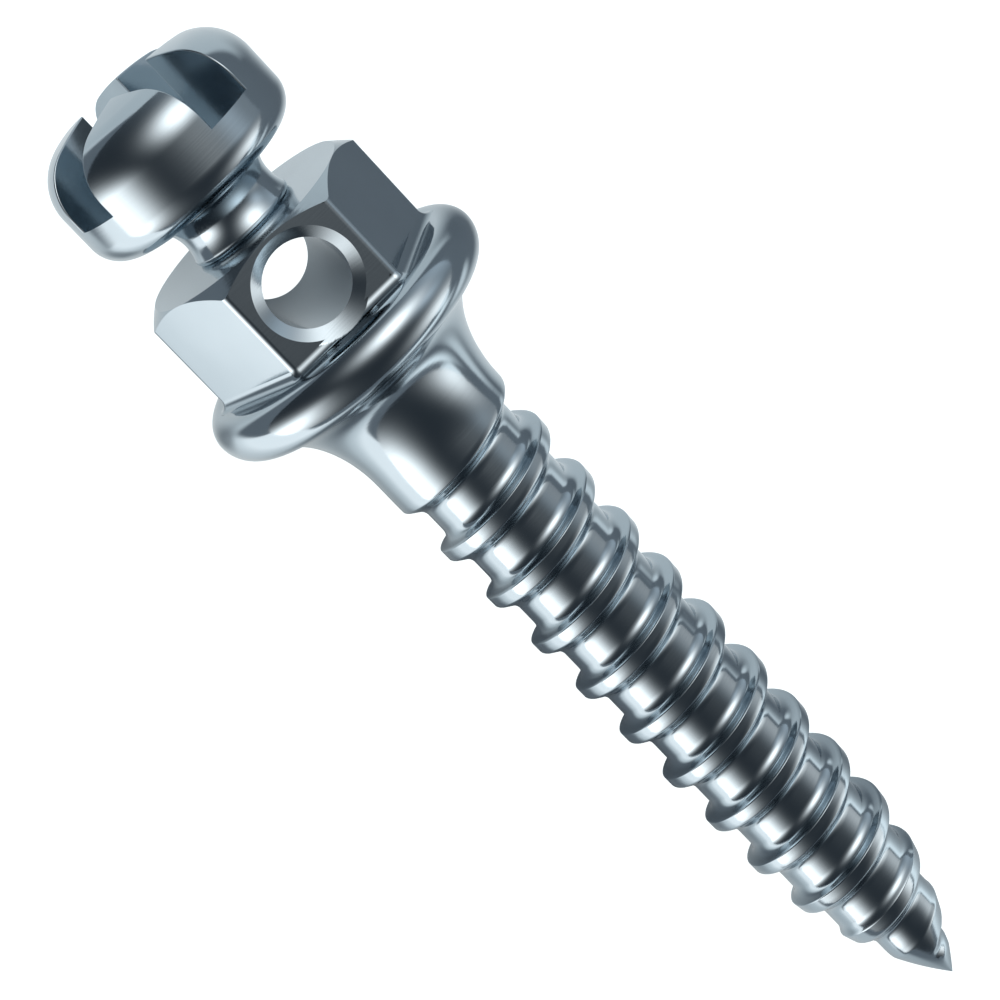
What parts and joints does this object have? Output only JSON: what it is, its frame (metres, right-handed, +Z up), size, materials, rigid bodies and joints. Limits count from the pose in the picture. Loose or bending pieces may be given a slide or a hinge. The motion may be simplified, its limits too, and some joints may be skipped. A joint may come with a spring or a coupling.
{
  "type": "orthodontic mini screw",
  "caption": "Self-drilling orthodontic anchor screw with tapered thread, flared collar, flange, driver hexagon with ligature hole, and cross-slotted button head.",
  "frame": {"origin": "centre of the bounding box at its lowest plane, with the screw lying on its flange rim and thread", "axes": "+X towards the point, +Z up, screw axis in the XZ plane and tipped 6.8 degrees down towards the point"},
  "size_m": [0.0128, 0.0032, 0.0032],
  "materials": {
    "titanium": "polished bare titanium alloy with fine turning marks"
  },
  "bodies": {
    "root": {"mini_screw": "titanium"}
  },
  "joints": []
}
